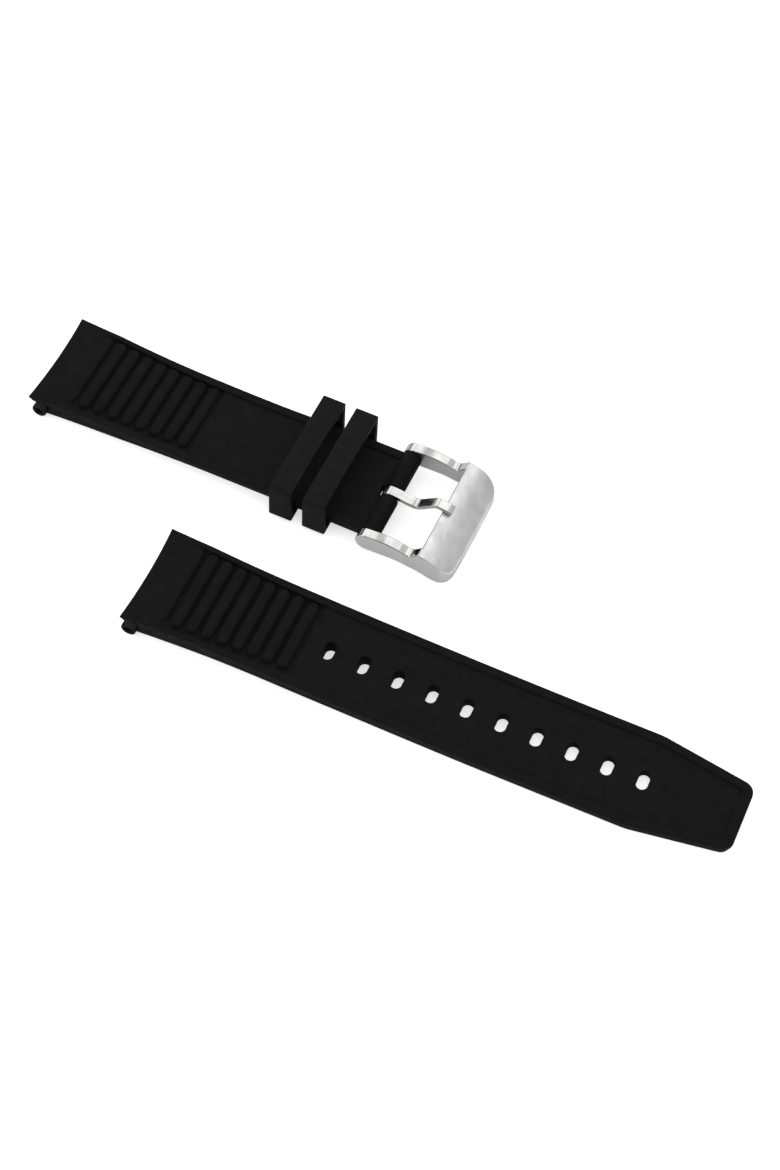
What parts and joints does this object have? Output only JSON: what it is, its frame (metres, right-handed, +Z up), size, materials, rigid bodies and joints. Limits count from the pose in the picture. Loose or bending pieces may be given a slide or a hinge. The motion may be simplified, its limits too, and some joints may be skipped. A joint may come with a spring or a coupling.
{
  "type": "watch strap",
  "caption": "Two-part rubber watch strap with ribbed ends, slotted holes, loose keepers and a tang buckle on a spring bar.",
  "frame": {"origin": "on the table, under the middle of the two halves as they lie side by side", "axes": "+X along both straps, from the case ends towards the buckle and the tip; +Y across, from the tail half towards the buckle half; +Z up, out of the ribbed outer face"},
  "size_m": [0.1602, 0.061, 0.0098],
  "materials": {
    "strap_rubber": "moulded black rubber, matte, fine skin",
    "keeper_rubber": "moulded black rubber, matte",
    "buckle_steel": "stainless steel, polished edges, satin front bar",
    "tang_steel": "stainless steel, polished",
    "bar_steel": "stainless steel, drawn tube and turned pins",
    "spring_wire": "spring steel wire, bright"
  },
  "bodies": {
    "buckle_half": {"buckle_strap": "strap_rubber", "bar_tube": "bar_steel", "bar_spring": "spring_wire"},
    "tail_half": {"tail_strap": "strap_rubber"},
    "first_keeper": {"first_keeper": "keeper_rubber"},
    "second_keeper": {"second_keeper": "keeper_rubber"},
    "buckle": {"buckle_frame": "buckle_steel"},
    "tang": {"buckle_tang": "tang_steel"},
    "near_pin": {"near_pin": "bar_steel"},
    "far_pin": {"far_pin": "bar_steel"}
  },
  "joints": [
    {"name": "half_apart", "type": "slide", "parent": "buckle_half", "child": "tail_half", "axis": [0, -1, 0], "range_m": [0, 0.06]},
    {"name": "first_keeper_slide", "type": "slide", "parent": "buckle_half", "child": "first_keeper", "axis": [0.9996, 0, 0.03], "range_m": [-0.016, 0.0011]},
    {"name": "second_keeper_slide", "type": "slide", "parent": "buckle_half", "child": "second_keeper", "axis": [1, 0, 0], "range_m": [-0.0011, 0.0024]},
    {"name": "buckle_swing", "type": "hinge", "parent": "buckle_half", "child": "buckle", "pos_m": [-0.00643, 0.01807, 0.0037], "axis": [0, -1, 0], "range_deg": [-75, 50]},
    {"name": "tang_lift", "type": "hinge", "parent": "buckle", "child": "tang", "pos_m": [-0.00643, 0.01807, 0.0037], "axis": [0, -1, 0], "range_deg": [0, 65]},
    {"name": "near_pin_press", "type": "slide", "parent": "buckle_half", "child": "near_pin", "axis": [0, 1, 0], "range_m": [0, 0.0009], "stiffness_N_per_m": 300, "deforming": ["bar_spring"]},
    {"name": "far_pin_press", "type": "slide", "parent": "buckle_half", "child": "far_pin", "axis": [0, -1, 0], "range_m": [0, 0.0009], "stiffness_N_per_m": 300, "deforming": ["bar_spring"]}
  ]
}
